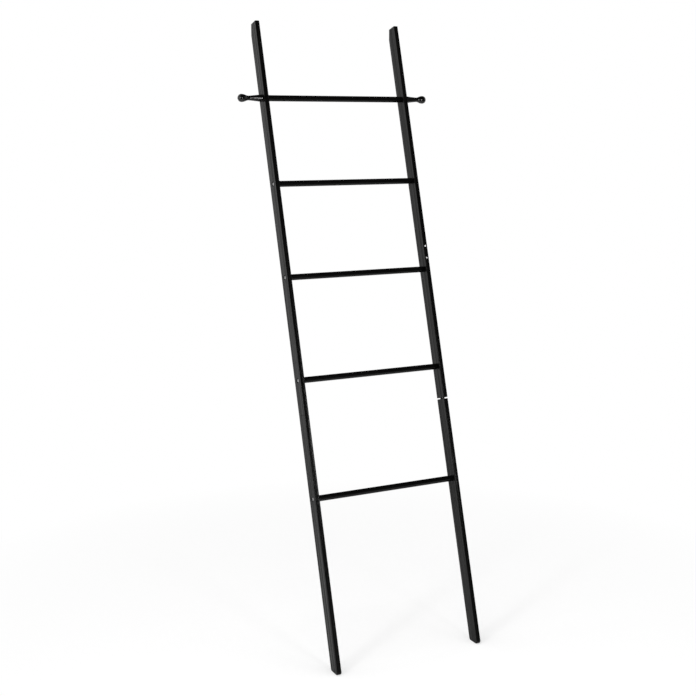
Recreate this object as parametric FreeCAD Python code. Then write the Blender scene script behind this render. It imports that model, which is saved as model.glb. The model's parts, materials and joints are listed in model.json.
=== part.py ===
import FreeCAD, Part
import math
import os

from FreeCAD import Vector

# A leaning blanket ladder. Sizes are millimetres and degrees. X runs along the rungs, the
# ladder leans towards +Y, and Z is up from the floor. The pieces are drawn with the rails
# upright, front faces towards -Y, and the whole ladder is then tipped back by LEAN_ANGLE.

LEAN_ANGLE = 16.45

# Rails: two flat boards, each in a lower and an upper length
RAIL_THICKNESS = 13.0
RAIL_DEPTH = 40.0
RAIL_LENGTH = 1833.3
RAIL_SPACING = 447.0
RAIL_EDGE_ROUND = 1.2
FOOT_FRONT_ROUND = 8.0
FOOT_BACK_ROUND = 8.0
TOP_CORNER_ROUND = 1.6
WALL_CUT_DEPTH = 8.7

# Dowelled joint between the two lengths of a rail; the right one stands open by a gap
LOWER_LENGTH = 713.0
RIGHT_JOINT_GAP = 3.6
JOINT_CORNER_ROUND = 1.5
DOWEL_DIAMETER = 6.35
DOWEL_SEAT = 20.0
DOWEL_SPACING = 12.6
DOWEL_FIT = 0.1
DOWEL_TIP_CHAMFER = 0.8

# Rungs, placed by their distance up the front edge of the rail
RUNG_DIAMETER = 17.0
RUNG_END_CHAMFER = 0.5
BOTTOM_RUNG_HEIGHT = 480.6
FOURTH_RUNG_HEIGHT = 809.7
THIRD_RUNG_HEIGHT = 1099.6
SECOND_RUNG_HEIGHT = 1366.3
TOP_RUNG_HEIGHT = 1613.9

# Threaded inserts in the ends of the rungs
THREAD_DIAMETER = 6.0
THREAD_FIT = 0.1
INSERT_DIAMETER = 9.0
INSERT_LENGTH = 14.0
INSERT_FIT = 0.1
INSERT_BORE_FLARE = 0.6
INSERT_POCKET_SPARE = 4.0

# Button-head screws through the rails into the four lower rungs
SCREW_HEAD_DIAMETER = 10.0
SCREW_HEAD_HEIGHT = 3.3
SCREW_HEAD_RIM = 0.8
SCREW_HEAD_FLAT = 5.6
SCREW_SOCKET_WIDTH = 4.0
SCREW_SOCKET_DEPTH = 2.0
SCREW_GRIP_IN_INSERT = 11.0
SCREW_TIP_CHAMFER = 0.8
SCREW_HOLE_DIAMETER = 6.6
COUNTERBORE_DIAMETER = 13.2
COUNTERBORE_DEPTH = 3.9

# Turned pegs outside the rails, in line with the top rung
PEG_BASE_DIAMETER = 21.2
PEG_MID_DIAMETER = 16.6
PEG_WAIST_DIAMETER = 12.8
PEG_KNOB_DIAMETER = 22.3
PEG_WAIST_DISTANCE = 40.0
PEG_KNOB_DISTANCE = 62.0
PEG_STUD_SEAT = 22.0
PEG_STUD_TIP_CHAMFER = 0.7

# Small domed screws in the front edge of the right rail
FACE_SCREW_LOWER_HEIGHT = 1129.9
FACE_SCREW_UPPER_HEIGHT = 1165.6
FACE_SCREW_HEAD_DIAMETER = 5.2
FACE_SCREW_HEAD_HEIGHT = 1.7
FACE_SCREW_SHANK_DIAMETER = 2.8
FACE_SCREW_SHANK_LENGTH = 14.0
FACE_SCREW_POINT_LENGTH = 3.0
FACE_SCREW_HOLE_FIT = 0.1
FACE_SCREW_HOLE_SPARE = 1.0

LEFT = -1
RIGHT = 1
SIDES = {"left": LEFT, "right": RIGHT}
JOINT_GAPS = {"left": 0.0, "right": RIGHT_JOINT_GAP}
SCREWED_RUNGS = {
    "second_rung": SECOND_RUNG_HEIGHT,
    "third_rung": THIRD_RUNG_HEIGHT,
    "fourth_rung": FOURTH_RUNG_HEIGHT,
    "bottom_rung": BOTTOM_RUNG_HEIGHT,
}

X_AXIS = Vector(1, 0, 0)
Y_AXIS = Vector(0, 1, 0)
Z_AXIS = Vector(0, 0, 1)
ORIGIN = Vector(0, 0, 0)

LEAN = math.radians(LEAN_ANGLE)
HALF_DEPTH = RAIL_DEPTH / 2
INNER_FACE = (RAIL_SPACING - RAIL_THICKNESS) / 2
OUTER_FACE = (RAIL_SPACING + RAIL_THICKNESS) / 2
COUNTERBORE_FLOOR = OUTER_FACE - COUNTERBORE_DEPTH


def rod(diameter, start, end, height, axis_y=0.0):
    """A cylinder along X between two X stations."""
    base = Vector(start, axis_y, height)
    return Part.makeCylinder(diameter / 2, end - start, base, X_AXIS)


def outward(shape, side):
    """Mirror a shape drawn for the right rail onto the left one."""
    if side == LEFT:
        return shape.mirror(ORIGIN, X_AXIS)
    return shape


def turned(outline):
    """Turn a closed outline, drawn as (X, radius) edges in the XZ plane, about the X axis."""
    face = Part.Face(Part.Wire(outline))
    return face.revolve(ORIGIN, X_AXIS, 360)


def circular_edges(shape, radius, axis, station):
    """The whole circles of one radius about an axis, at one station along it."""
    found = []
    for edge in shape.Edges:
        curve = edge.Curve
        if not isinstance(curve, Part.Circle) or abs(curve.Radius - radius) > 1e-4:
            continue
        if abs(curve.Center.dot(axis) - station) < 1e-4:
            found.append(edge)
    return found


def rounded_outline(corners):
    """A closed wire in the YZ plane through (y, z, corner radius) points, corners rounded."""
    points = [Vector(0, y, z) for y, z, radius in corners]
    radii = [radius for y, z, radius in corners]
    starts, middles, ends = [], [], []
    for index, corner in enumerate(points):
        before = (points[index - 1] - corner).normalize()
        after = (points[(index + 1) % len(points)] - corner).normalize()
        half_angle = before.getAngle(after) / 2
        reach = radii[index] / math.tan(half_angle)
        bisector = (before + after).normalize()
        centre = corner + bisector * (radii[index] / math.sin(half_angle))
        starts.append(corner + before * reach)
        middles.append(centre - bisector * radii[index])
        ends.append(corner + after * reach)
    edges = []
    for index in range(len(points)):
        following = (index + 1) % len(points)
        edges.append(Part.Arc(starts[index], middles[index], ends[index]).toShape())
        edges.append(Part.makeLine(ends[index], starts[following]))
    return Part.Wire(edges)


def board(corners, side):
    """A rail length: a side outline given thickness, with its long edges eased."""
    wire = rounded_outline(corners)
    solid = Part.Face(wire).extrude(Vector(RAIL_THICKNESS, 0, 0))
    solid.translate(Vector(side * RAIL_SPACING / 2 - RAIL_THICKNESS / 2, 0, 0))
    faces = [face for face in solid.Faces if abs(face.normalAt(0, 0).x) > 0.9]
    edges = [edge for face in faces for edge in face.Edges]
    return solid.makeFillet(RAIL_EDGE_ROUND, edges)


def lower_board(side):
    """The lower length, whose foot is cut level with the floor once the ladder leans."""
    foot_back = RAIL_DEPTH * math.tan(LEAN)
    return board([
        (-HALF_DEPTH, 0.0, FOOT_FRONT_ROUND),
        (HALF_DEPTH, foot_back, FOOT_BACK_ROUND),
        (HALF_DEPTH, LOWER_LENGTH, JOINT_CORNER_ROUND),
        (-HALF_DEPTH, LOWER_LENGTH, JOINT_CORNER_ROUND),
    ], side)


def upper_board(side, joint_gap):
    """The upper length, whose back top corner is cut plumb to lie against a wall."""
    start = LOWER_LENGTH + joint_gap
    cut_start = RAIL_LENGTH - WALL_CUT_DEPTH / math.tan(LEAN)
    return board([
        (-HALF_DEPTH, start, JOINT_CORNER_ROUND),
        (HALF_DEPTH, start, JOINT_CORNER_ROUND),
        (HALF_DEPTH, cut_start, TOP_CORNER_ROUND),
        (HALF_DEPTH - WALL_CUT_DEPTH, RAIL_LENGTH, TOP_CORNER_ROUND),
        (-HALF_DEPTH, RAIL_LENGTH, TOP_CORNER_ROUND),
    ], side)


def dowel_places(side):
    """The X and Y of the two dowels of one rail joint."""
    across = side * RAIL_SPACING / 2
    return {
        "front_dowel": (across, -DOWEL_SPACING / 2),
        "back_dowel": (across, DOWEL_SPACING / 2),
    }


def dowel(across, along, joint_gap):
    """One dowel pin, standing in both lengths and bridging the joint's gap."""
    length = 2 * DOWEL_SEAT + joint_gap
    base = Vector(across, along, LOWER_LENGTH - DOWEL_SEAT)
    pin = Part.makeCylinder(DOWEL_DIAMETER / 2, length, base, Z_AXIS)
    ends = circular_edges(pin, DOWEL_DIAMETER / 2, Z_AXIS, base.z)
    ends += circular_edges(pin, DOWEL_DIAMETER / 2, Z_AXIS, base.z + length)
    return pin.makeChamfer(DOWEL_TIP_CHAMFER, ends)


def dowel_holes(side, joint_gap):
    """The round holes that both lengths of a rail have for its two dowels."""
    length = 2 * DOWEL_SEAT + joint_gap
    radius = (DOWEL_DIAMETER + DOWEL_FIT) / 2
    holes = []
    for across, along in dowel_places(side).values():
        base = Vector(across, along, LOWER_LENGTH - DOWEL_SEAT)
        holes.append(Part.makeCylinder(radius, length, base, Z_AXIS))
    return holes


def rung_screw_hole(side, height):
    """Clearance hole and counterbore for one rung screw."""
    through = rod(SCREW_HOLE_DIAMETER, INNER_FACE, OUTER_FACE, height)
    counterbore = rod(COUNTERBORE_DIAMETER, COUNTERBORE_FLOOR, OUTER_FACE, height)
    return outward(through.fuse(counterbore), side)


def peg_stud_hole(side):
    """Clearance hole for the stud that joins a peg to the top rung."""
    return outward(rod(SCREW_HOLE_DIAMETER, INNER_FACE, OUTER_FACE, TOP_RUNG_HEIGHT), side)


def face_screw_hole(height):
    """Pilot hole in the front edge of the right rail."""
    radius = (FACE_SCREW_SHANK_DIAMETER + FACE_SCREW_HOLE_FIT) / 2
    depth = FACE_SCREW_SHANK_LENGTH + FACE_SCREW_HOLE_SPARE
    base = Vector(RAIL_SPACING / 2, -HALF_DEPTH, height)
    return Part.makeCylinder(radius, depth, base, Y_AXIS)


def rails():
    """Both rails, each a lower and an upper length with every hole drilled."""
    pieces = {}
    for name, side in SIDES.items():
        gap = JOINT_GAPS[name]
        holes = dowel_holes(side, gap) + [peg_stud_hole(side)]
        holes += [rung_screw_hole(side, height) for height in SCREWED_RUNGS.values()]
        if side == RIGHT:
            holes += [face_screw_hole(FACE_SCREW_LOWER_HEIGHT)]
            holes += [face_screw_hole(FACE_SCREW_UPPER_HEIGHT)]
        pieces[name + "_rail_lower"] = lower_board(side).cut(holes)
        pieces[name + "_rail_upper"] = upper_board(side, gap).cut(holes)
    return pieces


def dowels():
    """The dowel pins of both rail joints."""
    pieces = {}
    for name, side in SIDES.items():
        for pin_name, (across, along) in dowel_places(side).items():
            pieces[name + "_rail_" + pin_name] = dowel(across, along, JOINT_GAPS[name])
    return pieces


def rung(height):
    """A round rung between the rails, with a blind pocket for an insert in each end."""
    bar = rod(RUNG_DIAMETER, -INNER_FACE, INNER_FACE, height)
    ends = circular_edges(bar, RUNG_DIAMETER / 2, X_AXIS, -INNER_FACE)
    ends += circular_edges(bar, RUNG_DIAMETER / 2, X_AXIS, INNER_FACE)
    bar = bar.makeChamfer(RUNG_END_CHAMFER, ends)
    pocket_floor = INNER_FACE - INSERT_LENGTH - INSERT_POCKET_SPARE
    pocket = rod(INSERT_DIAMETER + INSERT_FIT, pocket_floor, INNER_FACE, height)
    return bar.cut([outward(pocket, LEFT), pocket])


def insert(side, height):
    """A threaded sleeve, flush with the end of its rung, with a flared mouth."""
    sleeve = rod(INSERT_DIAMETER, INNER_FACE - INSERT_LENGTH, INNER_FACE, height)
    bore = rod(THREAD_DIAMETER + THREAD_FIT, INNER_FACE - INSERT_LENGTH, INNER_FACE, height)
    sleeve = sleeve.cut(bore)
    mouth = circular_edges(sleeve, (THREAD_DIAMETER + THREAD_FIT) / 2, X_AXIS, INNER_FACE)
    return outward(sleeve.makeChamfer(INSERT_BORE_FLARE, mouth), side)


def screw_head():
    """A domed head with a hexagon socket, its flat underside at X = 0 and its axis on X."""
    rim = SCREW_HEAD_DIAMETER / 2
    flat = SCREW_HEAD_FLAT / 2
    dome_middle = Vector((SCREW_HEAD_RIM + SCREW_HEAD_HEIGHT) / 2 + SCREW_HEAD_RIM / 2,
                         0, (rim + flat) / 2 + SCREW_HEAD_RIM / 2)
    head = turned([
        Part.makeLine(ORIGIN, Vector(0, 0, rim)),
        Part.makeLine(Vector(0, 0, rim), Vector(SCREW_HEAD_RIM, 0, rim)),
        Part.Arc(Vector(SCREW_HEAD_RIM, 0, rim), dome_middle,
                 Vector(SCREW_HEAD_HEIGHT, 0, flat)).toShape(),
        Part.makeLine(Vector(SCREW_HEAD_HEIGHT, 0, flat), Vector(SCREW_HEAD_HEIGHT, 0, 0)),
        Part.makeLine(Vector(SCREW_HEAD_HEIGHT, 0, 0), ORIGIN),
    ])
    corner = SCREW_SOCKET_WIDTH / math.sqrt(3)
    floor = SCREW_HEAD_HEIGHT - SCREW_SOCKET_DEPTH
    angles = [math.radians(60 * step) for step in range(7)]
    points = [Vector(floor, corner * math.cos(a), corner * math.sin(a)) for a in angles]
    socket = Part.Face(Part.makePolygon(points)).extrude(Vector(SCREW_SOCKET_DEPTH, 0, 0))
    return head.cut(socket)


def rung_screw(side, height):
    """A button-head screw, seated in its counterbore and threaded into the rung's insert."""
    tip = INNER_FACE - SCREW_GRIP_IN_INSERT
    shank = rod(THREAD_DIAMETER, tip, COUNTERBORE_FLOOR, height)
    end = circular_edges(shank, THREAD_DIAMETER / 2, X_AXIS, tip)
    shank = shank.makeChamfer(SCREW_TIP_CHAMFER, end)
    head = screw_head()
    head.translate(Vector(COUNTERBORE_FLOOR, 0, height))
    return outward(shank.fuse(head).removeSplitter(), side)


def peg(side):
    """A turned peg: a flared stem, a waist to hang things from, and an onion-shaped knob."""
    base = PEG_BASE_DIAMETER / 2
    middle = PEG_MID_DIAMETER / 2
    waist = PEG_WAIST_DIAMETER / 2
    knob = PEG_KNOB_DIAMETER / 2
    swell = knob - waist
    rise = PEG_KNOB_DISTANCE - PEG_WAIST_DISTANCE
    swell_radius = (rise ** 2 + swell ** 2) / (4 * swell)
    quarter_turn = math.asin(rise / 2 / swell_radius) / 2
    quarter_run = swell_radius * math.sin(quarter_turn)
    quarter_lift = swell_radius * (1 - math.cos(quarter_turn))
    waist_point = Vector(PEG_WAIST_DISTANCE, 0, waist)
    turn_point = Vector(PEG_WAIST_DISTANCE + rise / 2, 0, waist + swell / 2)
    knob_point = Vector(PEG_KNOB_DISTANCE, 0, knob)
    tip_point = Vector(PEG_KNOB_DISTANCE + knob, 0, 0)
    round_middle = Vector(PEG_KNOB_DISTANCE + knob * math.sqrt(0.5), 0, knob * math.sqrt(0.5))
    shape = turned([
        Part.makeLine(ORIGIN, Vector(0, 0, base)),
        Part.Arc(Vector(0, 0, base), Vector(PEG_WAIST_DISTANCE / 2, 0, middle),
                 waist_point).toShape(),
        Part.Arc(waist_point, waist_point + Vector(quarter_run, 0, quarter_lift),
                 turn_point).toShape(),
        Part.Arc(turn_point, knob_point - Vector(quarter_run, 0, quarter_lift),
                 knob_point).toShape(),
        Part.Arc(knob_point, round_middle, tip_point).toShape(),
        Part.makeLine(tip_point, ORIGIN),
    ])
    shape.translate(Vector(OUTER_FACE, 0, TOP_RUNG_HEIGHT))
    stud_hole = rod(THREAD_DIAMETER + THREAD_FIT, OUTER_FACE, OUTER_FACE + PEG_STUD_SEAT,
                    TOP_RUNG_HEIGHT)
    return outward(shape.cut(stud_hole), side)


def peg_stud(side):
    """A threaded stud from inside the peg, through the rail, into the top rung's insert."""
    inner_end = INNER_FACE - SCREW_GRIP_IN_INSERT
    outer_end = OUTER_FACE + PEG_STUD_SEAT
    stud = rod(THREAD_DIAMETER, inner_end, outer_end, TOP_RUNG_HEIGHT)
    ends = circular_edges(stud, THREAD_DIAMETER / 2, X_AXIS, inner_end)
    ends += circular_edges(stud, THREAD_DIAMETER / 2, X_AXIS, outer_end)
    return outward(stud.makeChamfer(PEG_STUD_TIP_CHAMFER, ends), side)


def face_screw(height):
    """A small domed screw whose head sits on the front edge of the right rail."""
    head = FACE_SCREW_HEAD_DIAMETER / 2
    shank = FACE_SCREW_SHANK_DIAMETER / 2
    sphere_radius = (head ** 2 + FACE_SCREW_HEAD_HEIGHT ** 2) / (2 * FACE_SCREW_HEAD_HEIGHT)
    half_turn = math.asin(head / sphere_radius) / 2
    dome_middle = Vector(FACE_SCREW_HEAD_HEIGHT - sphere_radius * (1 - math.cos(half_turn)),
                         0, sphere_radius * math.sin(half_turn))
    shoulder = FACE_SCREW_POINT_LENGTH - FACE_SCREW_SHANK_LENGTH
    screw = turned([
        Part.makeLine(Vector(-FACE_SCREW_SHANK_LENGTH, 0, 0), Vector(shoulder, 0, shank)),
        Part.makeLine(Vector(shoulder, 0, shank), Vector(0, 0, shank)),
        Part.makeLine(Vector(0, 0, shank), Vector(0, 0, head)),
        Part.Arc(Vector(0, 0, head), dome_middle,
                 Vector(FACE_SCREW_HEAD_HEIGHT, 0, 0)).toShape(),
        Part.makeLine(Vector(FACE_SCREW_HEAD_HEIGHT, 0, 0),
                      Vector(-FACE_SCREW_SHANK_LENGTH, 0, 0)),
    ])
    screw.rotate(ORIGIN, Z_AXIS, -90)
    screw.translate(Vector(RAIL_SPACING / 2, -HALF_DEPTH, height))
    return screw


def rung_set():
    """The rungs and the inserts and screws in their ends."""
    pieces = {}
    for name, height in {"top_rung": TOP_RUNG_HEIGHT, **SCREWED_RUNGS}.items():
        pieces[name] = rung(height)
        for side_name, side in SIDES.items():
            pieces[name + "_" + side_name + "_insert"] = insert(side, height)
    for name, height in SCREWED_RUNGS.items():
        for side_name, side in SIDES.items():
            pieces[name + "_" + side_name + "_screw"] = rung_screw(side, height)
    return pieces


def peg_set():
    """The two pegs and their studs."""
    pieces = {}
    for name, side in SIDES.items():
        pieces[name + "_peg"] = peg(side)
        pieces[name + "_peg_stud"] = peg_stud(side)
    return pieces


def lean_back(pieces):
    """Tip the upright ladder back, stand it on Z = 0 and centre its footprint on the origin."""
    for shape in pieces.values():
        shape.rotate(ORIGIN, X_AXIS, -LEAN_ANGLE)
    floor = HALF_DEPTH * math.sin(LEAN)
    toe_loss = FOOT_FRONT_ROUND * ((1 + math.sin(LEAN)) / math.cos(LEAN) - 1)
    front = toe_loss - HALF_DEPTH * math.cos(LEAN)
    wall = (HALF_DEPTH - WALL_CUT_DEPTH) * math.cos(LEAN) + RAIL_LENGTH * math.sin(LEAN)
    for shape in pieces.values():
        shape.translate(Vector(0, -(front + wall) / 2, -floor))


def main():
    pieces = {**rails(), **dowels(), **rung_set(), **peg_set()}
    pieces["right_rail_lower_face_screw"] = face_screw(FACE_SCREW_LOWER_HEIGHT)
    pieces["right_rail_upper_face_screw"] = face_screw(FACE_SCREW_UPPER_HEIGHT)
    lean_back(pieces)
    os.makedirs("parts", exist_ok=True)
    for name, shape in pieces.items():
        shape.exportStep("parts/" + name + ".step")
        box = shape.optimalBoundingBox(False)
        print("%-28s solids %d valid %s volume %.1f" % (
            name, len(shape.Solids), shape.isValid(), shape.Volume))
        print("    x %.2f %.2f  y %.2f %.2f  z %.2f %.2f" % (
            box.XMin, box.XMax, box.YMin, box.YMax, box.ZMin, box.ZMax))


main()
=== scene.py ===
import json
import math

import bpy
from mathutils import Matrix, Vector

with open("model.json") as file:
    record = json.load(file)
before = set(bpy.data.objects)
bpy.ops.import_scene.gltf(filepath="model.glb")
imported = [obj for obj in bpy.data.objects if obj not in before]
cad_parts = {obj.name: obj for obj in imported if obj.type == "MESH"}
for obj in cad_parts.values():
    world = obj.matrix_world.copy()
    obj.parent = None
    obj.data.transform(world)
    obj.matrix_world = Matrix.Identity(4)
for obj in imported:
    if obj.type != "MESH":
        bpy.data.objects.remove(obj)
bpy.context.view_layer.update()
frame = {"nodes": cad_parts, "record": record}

# The rails lean back from the vertical by this angle.
LEAN = math.radians(16.45)

# Turns that bring a piece's grain onto Z: up the leaning rails, or level along the rungs.
GRAIN_UP_RAIL = (LEAN, 0.0, 0.0)
GRAIN_ALONG_X = (0.0, math.pi / 2, 0.0)

# The grain's noise spans about this range, from the darkest stain to the palest.
TONE_RANGE = (0.30, 0.80)
# Noise above the first value starts a pore, and above the second it is fully one.
PORE_RANGE = (0.58, 0.70)
# How much of the tone comes from the year rings and how much from the fibres
RING_SHARE = 0.45
FIBRE_SHARE = 0.75

# Heights of the grain under the lacquer, in metres
BAND_RELIEF = 0.0022
RING_RELIEF = 0.00008
FIBRE_RELIEF = 0.00016
PORE_RELIEF = -0.00006

# How far one plank's grain may be shifted against another's, in metres
PLANK_SHIFT = (7.1, 3.7, 11.3)

# A colour and a strength of this level render as plain white.
WHITE_LEVEL = 1.0
FLOOR_HALF = 1.7
LAMP_TARGET = Vector((0.0, 0.0, 0.9))

# The photograph's frame is square, so one lens serves both its width and its height.
CAMERA_PLACE = (-1.5750, -2.9920, 1.4672)
CAMERA_TURN = math.radians(-26.866)
CAMERA_DIP = math.radians(10.519)
CAMERA_NEAR = 0.05
CAMERA_FAR = 100.0
SENSOR_WIDTH = 36.0
LENS = 62.07


class Graph:
    """The node tree of a material or of the world, built one node at a time."""

    def __init__(self, owner, output_kind):
        owner.use_nodes = True
        self.owner = owner
        self.tree = owner.node_tree
        self.tree.nodes.clear()
        self.output = self.add(output_kind)

    def add(self, kind, inputs=None, **settings):
        """A new node with its settings and inputs. An input is a value, or a socket to link."""
        node = self.tree.nodes.new(kind)
        for key, value in settings.items():
            setattr(node, key, value)
        for key, value in (inputs or {}).items():
            if isinstance(value, bpy.types.NodeSocket):
                self.tree.links.new(value, node.inputs[key])
            else:
                node.inputs[key].default_value = value
        return node

    def calc(self, operation, a, b=0.0):
        return self.add("ShaderNodeMath", {0: a, 1: b}, operation=operation).outputs[0]

    def vector_calc(self, operation, inputs):
        return self.add("ShaderNodeVectorMath", inputs, operation=operation).outputs

    def ramp(self, value, low, high, new_low=0.0, new_high=1.0, **settings):
        """Value from low..high to new_low..new_high, held within the new ends."""
        ends = {"From Min": low, "From Max": high, "To Min": new_low, "To Max": new_high}
        return self.add("ShaderNodeMapRange", {"Value": value, **ends}, **settings).outputs[0]

    def mix(self, factor, a, b):
        """A colour between a and b."""
        return self.add("ShaderNodeMix", {0: factor, 6: a, 7: b}, data_type="RGBA").outputs[2]

    def noise(self, place, scale=1.0, detail=2.0, roughness=0.5):
        sockets = {"Vector": place, "Scale": scale, "Detail": detail, "Roughness": roughness}
        return self.add("ShaderNodeTexNoise", sockets).outputs["Fac"]

    def bump(self, height, distance, strength=1.0, normal=None):
        sockets = {"Height": height, "Distance": distance, "Strength": strength}
        if normal is not None:
            sockets["Normal"] = normal
        return self.add("ShaderNodeBump", sockets).outputs["Normal"]

    def finish(self, shader):
        self.tree.links.new(shader.outputs[0], self.output.inputs["Surface"])
        return self.owner

    def finish_surface(self, colour, roughness, normal, others):
        """End in a Principled shader with these inputs and others by their sockets' names."""
        inputs = {"Base Color": colour, "Roughness": roughness, "Normal": normal, **others}
        return self.finish(self.add("ShaderNodeBsdfPrincipled", inputs))


def new_material(name):
    return Graph(bpy.data.materials.new(name), "ShaderNodeOutputMaterial")


def grey(value, warm=0.0):
    """An opaque grey, a little warmer or cooler than neutral."""
    return (value * (1.0 + warm), value, value * (1.0 - warm), 1.0)


class Grain:
    """A piece's own directions, with Z along its grain.

    Each piece is cut from its own plank, so no two match.
    """

    def __init__(self, graph, turn):
        self.graph = graph
        self.turn = turn
        middle = graph.add("ShaderNodeTexCoord").outputs["Object"]
        self.place = graph.add("ShaderNodeMapping", {"Vector": middle, "Rotation": turn}).outputs[0]
        self.plank = graph.add("ShaderNodeObjectInfo").outputs["Random"]
        shift = graph.vector_calc("SCALE", {0: PLANK_SHIFT, "Scale": self.plank})[0]
        self.cut = graph.vector_calc("ADD", {0: self.place, 1: shift})[0]

    def streaks(self, across, along, **settings):
        """Noise drawn out along the grain.

        A streak is 1 / across metres wide and 1 / along metres long.
        """
        spread = (across, across, along)
        stretched = self.graph.vector_calc("MULTIPLY", {0: self.cut, 1: spread})[0]
        return self.graph.noise(stretched, **settings)

    def rings(self, pith, width, wander):
        """Year rings round a pith, from 0 in spring wood up to 1 in the hard late wood."""
        graph = self.graph
        sides = graph.add("ShaderNodeSeparateXYZ", {"Vector": self.place}).outputs
        across = graph.calc("SUBTRACT", graph.calc("ABSOLUTE", sides[0]), pith[0])
        depth = graph.calc("SUBTRACT", sides[1], pith[1])
        flat = graph.add("ShaderNodeCombineXYZ", {"X": across, "Y": depth}).outputs[0]
        radius = graph.vector_calc("LENGTH", {0: flat})["Value"]
        drift = self.streaks(across=16.0, along=2.6, detail=2.0, roughness=0.45)
        radius = graph.calc("ADD", radius, graph.calc("MULTIPLY", drift, wander))
        radius = graph.calc("ADD", radius, graph.calc("MULTIPLY", self.plank, width))
        turn = graph.calc("FRACT", graph.calc("DIVIDE", radius, width))
        late_wood = graph.calc("POWER", turn, 2.2)
        year_end = graph.ramp(turn, 0.90, 1.0, 1.0, 0.0)
        return graph.calc("MULTIPLY", late_wood, year_end)

    def fibre_and_pores(self, fibre_spread, pore_spread):
        """The fibres of a planed surface and the pores between them, spread as streaks are."""
        fibre = self.streaks(*fibre_spread, detail=3.0, roughness=0.65)
        pore = self.graph.ramp(self.streaks(*pore_spread, detail=1.0), *PORE_RANGE)
        return fibre, pore

    def tone(self, rings, fibre):
        """How well the wood hides the stain: late wood and fibres stay palest."""
        graph = self.graph
        from_rings = graph.calc("MULTIPLY", rings, RING_SHARE)
        return graph.calc("ADD", from_rings, graph.calc("MULTIPLY", fibre, FIBRE_SHARE))

    def faces(self):
        """How much of an edge the surface is, and how much of a sawn end across the grain."""
        graph = self.graph
        normal = graph.add("ShaderNodeNewGeometry").outputs["Normal"]
        sockets = {"Vector": normal, "Rotation": self.turn}
        turned = graph.add("ShaderNodeMapping", sockets, vector_type="NORMAL").outputs[0]
        parts = graph.add("ShaderNodeSeparateXYZ", {"Vector": turned}).outputs
        sides = [graph.calc("ABSOLUTE", part) for part in parts]
        widest = graph.calc("MAXIMUM", graph.calc("MAXIMUM", sides[0], sides[1]), sides[2])
        return graph.ramp(widest, 0.97, 0.80), graph.ramp(sides[2], 0.75, 0.9)


def wood_relief(graph, band, rings, fibre, pore, depth):
    """The grain as it stands out under thin lacquer, deepest at depth 1."""
    normal = graph.bump(band, BAND_RELIEF * depth)
    normal = graph.bump(rings, RING_RELIEF * depth, normal=normal)
    normal = graph.bump(fibre, FIBRE_RELIEF * depth, normal=normal)
    return graph.bump(pore, PORE_RELIEF * depth, normal=normal)


def board_wood():
    """Flat sawn board, stained black under satin lacquer, with its edges a little rubbed."""
    graph = new_material("board_wood_black")
    grain = Grain(graph, GRAIN_UP_RAIL)
    rings = grain.rings(pith=(0.2435, -0.325), width=0.0046, wander=0.030)
    fibre, pore = grain.fibre_and_pores(fibre_spread=(420.0, 16.0), pore_spread=(1000.0, 40.0))
    cloud = grain.streaks(across=30.0, along=5.0, detail=3.0, roughness=0.6)
    band = grain.streaks(across=80.0, along=1.8, detail=1.5)
    edge, sawn = grain.faces()
    tone = grain.tone(rings, fibre)

    dark, pale, clouded, banded = grey(0.0004), grey(0.0040, 0.03), grey(0.0006), grey(0.0036, 0.03)
    filled_pore, bare_edge, sawn_end = grey(0.0005), grey(0.014, 0.10), grey(0.0040)

    stain = graph.mix(graph.ramp(tone, *TONE_RANGE), dark, pale)
    stain = graph.mix(graph.ramp(cloud, 0.40, 0.62, 0.0, 0.45), stain, clouded)
    stain = graph.mix(graph.ramp(band, 0.50, 0.64, 0.0, 0.8), stain, banded)
    stain = graph.mix(pore, stain, filled_pore)
    rubbed = graph.calc("MULTIPLY", edge, graph.ramp(cloud, 0.45, 0.60, 0.1, 0.7))
    stain = graph.mix(rubbed, stain, bare_edge)
    stain = graph.mix(graph.calc("MULTIPLY", sawn, 0.6), stain, sawn_end)

    gloss = graph.ramp(tone, *TONE_RANGE, 0.28, 0.20)
    gloss = graph.calc("ADD", gloss, graph.calc("MULTIPLY", sawn, 0.20))
    gloss = graph.calc("ADD", gloss, graph.ramp(cloud, 0.40, 0.65, 0.0, 0.06))
    relief = wood_relief(graph, band, rings, fibre, pore, depth=1.0)
    return graph.finish_surface(stain, gloss, relief, {"Specular IOR Level": 0.13})


def round_wood(name, ring_width, dark, pale, smooth, rough, depth, shine):
    """A round bar or turned piece with its grain along X, stained and lacquered as the boards."""
    graph = new_material(name)
    grain = Grain(graph, GRAIN_ALONG_X)
    rings = grain.rings(pith=(0.50, 0.60), width=ring_width, wander=0.016)
    fibre, pore = grain.fibre_and_pores(fibre_spread=(520.0, 14.0), pore_spread=(1300.0, 45.0))
    band = grain.streaks(across=150.0, along=4.0, detail=1.5)
    handled = graph.ramp(grain.streaks(across=40.0, along=9.0, detail=4.0), 0.52, 0.72)
    tone = grain.tone(rings, fibre)

    stain = graph.mix(graph.ramp(tone, *TONE_RANGE), grey(dark), grey(pale, 0.03))
    stain = graph.mix(graph.calc("MULTIPLY", handled, 0.3), stain, grey(pale * 1.5, 0.06))
    stain = graph.mix(pore, stain, grey(dark * 0.7))

    gloss = graph.ramp(tone, *TONE_RANGE, rough, smooth)
    gloss = graph.calc("SUBTRACT", gloss, graph.calc("MULTIPLY", handled, 0.04))
    relief = wood_relief(graph, band, rings, fibre, pore, depth)
    return graph.finish_surface(stain, gloss, relief, {"Specular IOR Level": shine})


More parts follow.
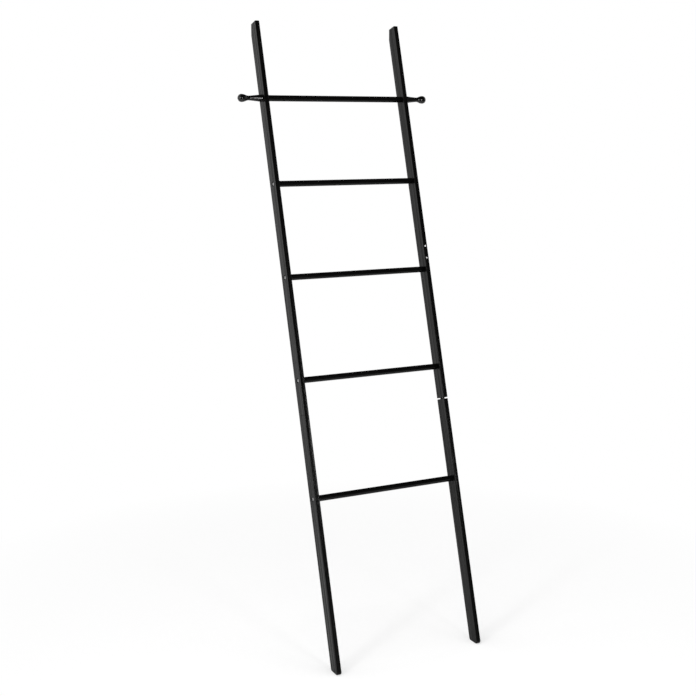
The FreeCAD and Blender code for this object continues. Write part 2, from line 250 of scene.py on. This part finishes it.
def dowel_wood():
    """Plain dowel pin, coloured dark all through and left unpolished."""
    graph = new_material("dowel_wood_dark")
    grain = Grain(graph, GRAIN_UP_RAIL)
    fibre = grain.streaks(across=700.0, along=40.0, detail=4.0, roughness=0.7)
    dark, pale = grey(0.010, 0.08), grey(0.028, 0.10)
    stain = graph.mix(graph.ramp(fibre, 0.35, 0.65), dark, pale)
    gloss = graph.ramp(fibre, 0.3, 0.7, 0.55, 0.75)
    relief = graph.bump(fibre, distance=0.00025, strength=0.4)
    return graph.finish_surface(stain, gloss, relief, {"Specular IOR Level": 0.3})


def plated_steel(name, dull, bright, smooth, rough, across, along, metallic=1.0):
    """Plated metal: a cloudy tone over a fine grain, darker and duller where it was handled."""
    graph = new_material(name)
    grain = Grain(graph, GRAIN_ALONG_X)
    cloud = grain.streaks(across=260.0, along=260.0, detail=4.0, roughness=0.6)
    fine = grain.streaks(across, along, detail=2.0)
    handled = graph.calc("MULTIPLY", graph.ramp(cloud, 0.52, 0.70), 0.4)
    tone = graph.mix(graph.ramp(fine, 0.3, 0.7), grey(dull), grey(bright))
    tone = graph.mix(handled, tone, grey(dull * 0.7, 0.04))
    gloss = graph.ramp(cloud, 0.35, 0.70, smooth, rough)
    relief = graph.bump(fine, distance=0.00004, strength=0.25)
    return graph.finish_surface(tone, gloss, relief, {"Metallic": metallic})


def dress_solids():
    """Give each solid the material that its slot in the record names."""
    finishes = {
        "rail_wood": board_wood(),
        "rung_wood": round_wood(
            "rung_wood_black", ring_width=0.0030, dark=0.0005, pale=0.0032,
            smooth=0.18, rough=0.25, depth=0.25, shine=0.20,
        ),
        "peg_wood": round_wood(
            "peg_wood_black", ring_width=0.0026, dark=0.0004, pale=0.0024,
            smooth=0.12, rough=0.16, depth=0.03, shine=0.55,
        ),
        "dowel_wood": dowel_wood(),
        "screw_steel": plated_steel(
            "zinc_plated_steel", dull=0.42, bright=0.60,
            smooth=0.28, rough=0.42, across=900.0, along=900.0,
        ),
        "stud_steel": plated_steel(
            "zinc_plated_thread", dull=0.46, bright=0.62,
            smooth=0.30, rough=0.45, across=200.0, along=1500.0,
        ),
        "insert_metal": plated_steel(
            "zinc_alloy", dull=0.40, bright=0.55,
            smooth=0.38, rough=0.52, across=300.0, along=1200.0,
        ),
        "face_screw_steel": plated_steel(
            "nickel_plated_steel", dull=0.78, bright=0.92,
            smooth=0.26, rough=0.36, across=700.0, along=700.0, metallic=0.45,
        ),
    }
    for part in frame["record"]["subparts"]:
        node = frame["nodes"][part["node"]]
        for holder in node.material_slots:
            holder.material = finishes[part["material_slot"]]


def floor_paint():
    """Pale paint that takes a shadow near the ladder and fades to plain white further out."""
    graph = new_material("floor_white")
    place = graph.add("ShaderNodeTexCoord").outputs["Object"]
    reach = graph.vector_calc("LENGTH", {0: place})["Value"]
    far = graph.ramp(reach, 0.5, 1.5, 0.5, 1.0)
    seen = graph.add("ShaderNodeLightPath").outputs["Is Camera Ray"]
    grain = graph.noise(place, scale=60.0, detail=3.0)
    lit, seen_dark, seen_pale = grey(0.80), grey(0.96), grey(0.99)
    paint = graph.mix(seen, lit, graph.mix(grain, seen_dark, seen_pale))
    matt = graph.add("ShaderNodeBsdfDiffuse", {"Color": paint})
    glow = {"Color": grey(WHITE_LEVEL), "Strength": WHITE_LEVEL}
    white = graph.add("ShaderNodeEmission", glow)
    sockets = {0: graph.calc("MULTIPLY", far, seen), 1: matt.outputs[0], 2: white.outputs[0]}
    return graph.finish(graph.add("ShaderNodeMixShader", sockets))


def build_floor():
    mesh = bpy.data.meshes.new("floor")
    ways = ((-1, -1), (1, -1), (1, 1), (-1, 1))
    corners = [(x * FLOOR_HALF, y * FLOOR_HALF, 0.0) for x, y in ways]
    mesh.from_pydata(corners, [], [(0, 1, 2, 3)])
    floor = bpy.data.objects.new("floor", mesh)
    bpy.context.scene.collection.objects.link(floor)
    mesh.materials.append(floor_paint())


def build_world():
    """White behind the ladder, and a studio for its gloss to reflect.

    The studio is pale on the left and behind, dimmer on the right and dim in front.
    """
    world = bpy.data.worlds.new("studio")
    bpy.context.scene.world = world
    graph = Graph(world, "ShaderNodeOutputWorld")
    way = graph.add("ShaderNodeTexCoord").outputs["Generated"]

    def glow(towards, start, full, low, high):
        """Light that grows towards one side of the room."""
        side = Vector(towards).normalized()
        facing = graph.vector_calc("DOT_PRODUCT", {0: way, 1: side})["Value"]
        return graph.ramp(facing, start, full, low, high, interpolation_type="SMOOTHSTEP")

    left = glow(towards=(-0.90, 0.43, 0.0), start=0.0, full=0.85, low=0.04, high=0.98)
    right = glow(towards=(1.0, 0.0, 0.0), start=0.58, full=0.95, low=0.0, high=0.45)
    seen = graph.add("ShaderNodeLightPath").outputs["Is Camera Ray"]
    levels = {0: seen, 2: graph.calc("ADD", left, right), 3: WHITE_LEVEL}
    strength = graph.add("ShaderNodeMix", levels, data_type="FLOAT").outputs[0]
    light = {"Color": grey(WHITE_LEVEL), "Strength": strength}
    graph.finish(graph.add("ShaderNodeBackground", light))


def add_softbox(name, turn, height, distance, width, tall, power, mirrored=True):
    """A soft rectangular lamp that faces the middle of the ladder.

    Turn is from straight in front, to the right, and height is from level, in degrees.
    """
    turn, height = math.radians(turn), math.radians(height)
    level = math.cos(height)
    away = Vector((math.sin(turn) * level, -math.cos(turn) * level, math.sin(height)))
    lamp = bpy.data.lights.new(name, "AREA")
    lamp.shape = "RECTANGLE"
    lamp.size = width
    lamp.size_y = tall
    lamp.energy = power
    holder = bpy.data.objects.new(name, lamp)
    holder.location = LAMP_TARGET + away * distance
    holder.rotation_euler = away.to_track_quat("Z", "Y").to_euler()
    holder.visible_glossy = mirrored
    bpy.context.scene.collection.objects.link(holder)


def build_lights():
    add_softbox(
        "top_light", turn=0.0, height=85.0, distance=2.8,
        width=3.0, tall=3.0, power=100.0, mirrored=False,
    )
    add_softbox(
        "left_light", turn=-62.0, height=12.0, distance=3.2,
        width=0.35, tall=0.8, power=22.0,
    )
    add_softbox(
        "front_light", turn=4.0, height=9.0, distance=3.6,
        width=0.5, tall=0.8, power=30.0,
    )


def build_camera():
    lens = bpy.data.cameras.new("camera")
    lens.sensor_fit = "HORIZONTAL"
    lens.sensor_width = SENSOR_WIDTH
    lens.lens = LENS
    lens.clip_start = CAMERA_NEAR
    lens.clip_end = CAMERA_FAR
    camera = bpy.data.objects.new("camera", lens)
    camera.location = CAMERA_PLACE
    camera.rotation_euler = (math.pi / 2 - CAMERA_DIP, 0.0, CAMERA_TURN)
    bpy.context.scene.collection.objects.link(camera)
    bpy.context.scene.camera = camera


dress_solids()
build_floor()
build_world()
build_lights()
build_camera()
bpy.context.scene.view_settings.view_transform = "Standard"
